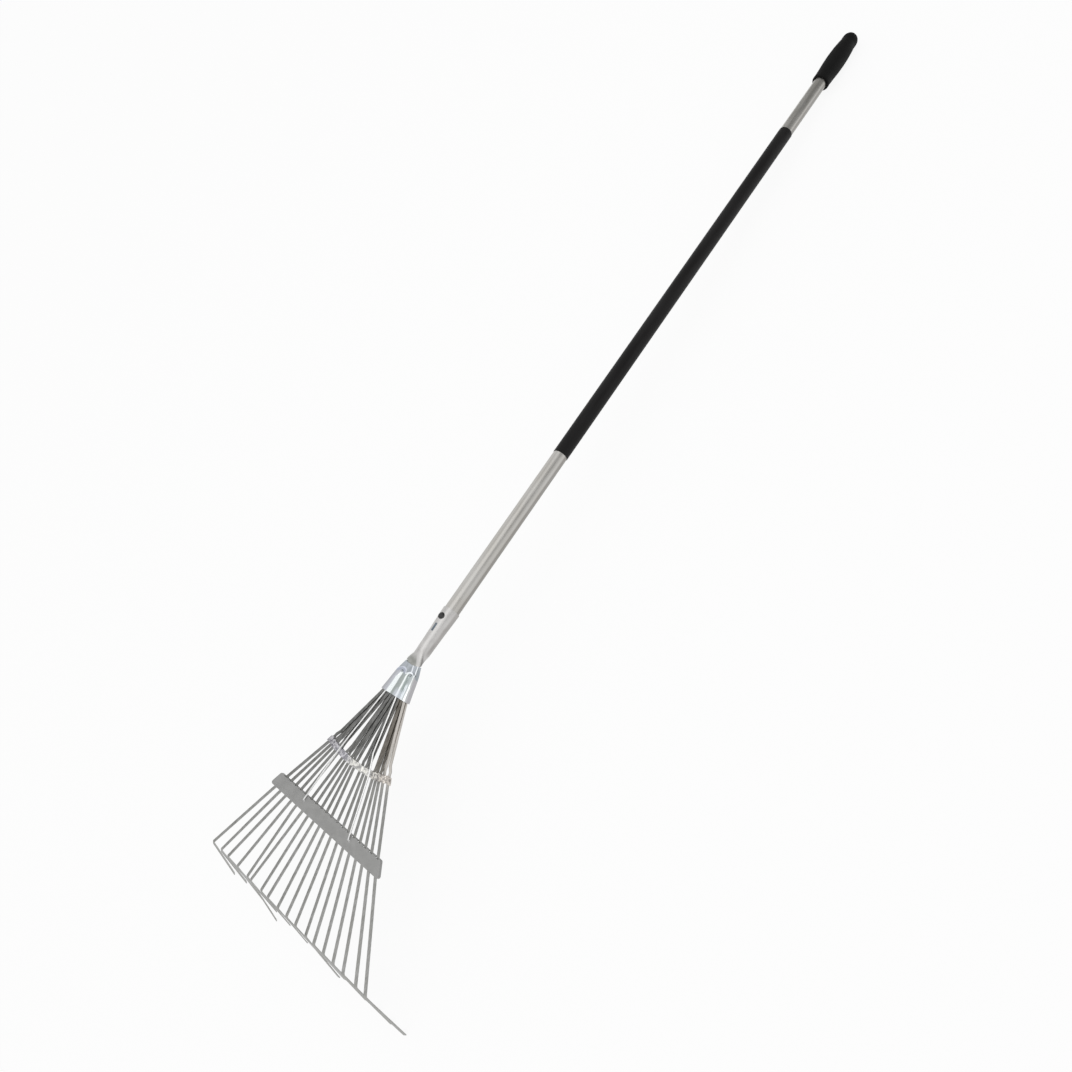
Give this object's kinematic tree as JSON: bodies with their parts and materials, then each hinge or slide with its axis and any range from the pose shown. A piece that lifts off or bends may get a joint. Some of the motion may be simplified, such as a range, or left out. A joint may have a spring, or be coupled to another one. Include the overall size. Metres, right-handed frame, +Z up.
{
  "type": "fan rake",
  "caption": "Fan lawn rake with flat spring steel tines, a zinc clamp, a grey cross bar and a long tube handle with a black sleeve and a soft end grip.",
  "frame": {"origin": "the middle of the rake's box at ground level, the rake lying on its tine ends and the end of its grip", "axes": "+Y along the handle from the fan to the grip, +X across the fan, +Z up"},
  "size_m": [0.4206, 1.8666, 0.1403],
  "materials": {
    "soft_black": "matt soft plastic",
    "sleeve_black": "smooth satin plastic sleeve",
    "tube_metal": "drawn tube, satin",
    "socket_metal": "pressed steel, satin",
    "rivet_black": "black",
    "zinc_plate": "bright zinc plate",
    "rivet_zinc": "zinc plate",
    "spring_steel": "rolled spring steel, clear coated",
    "bar_grey": "matt grey",
    "bright_wire": "bright drawn wire"
  },
  "bodies": {
    "root": {"end_grip": "soft_black", "handle_tube": "tube_metal", "handle_sleeve": "sleeve_black", "socket": "socket_metal", "socket_rivet": "rivet_black", "clamp_front": "zinc_plate", "clamp_back": "zinc_plate", "clamp_rivet_left": "rivet_zinc", "clamp_rivet_right": "rivet_zinc", "spacer_band_front": "zinc_plate", "spacer_band_back": "zinc_plate", "cross_bar": "bar_grey", "stay_left": "bright_wire", "stay_right": "bright_wire", "tine_01": "spring_steel", "tine_02": "spring_steel", "tine_03": "spring_steel", "tine_04": "spring_steel", "tine_05": "spring_steel", "tine_06": "spring_steel", "tine_07": "spring_steel", "tine_08": "spring_steel", "tine_09": "spring_steel", "tine_10": "spring_steel", "tine_11": "spring_steel", "tine_12": "spring_steel", "tine_13": "spring_steel", "tine_14": "spring_steel", "tine_15": "spring_steel", "tine_16": "spring_steel", "tine_17": "spring_steel", "tine_18": "spring_steel"}
  },
  "joints": []
}
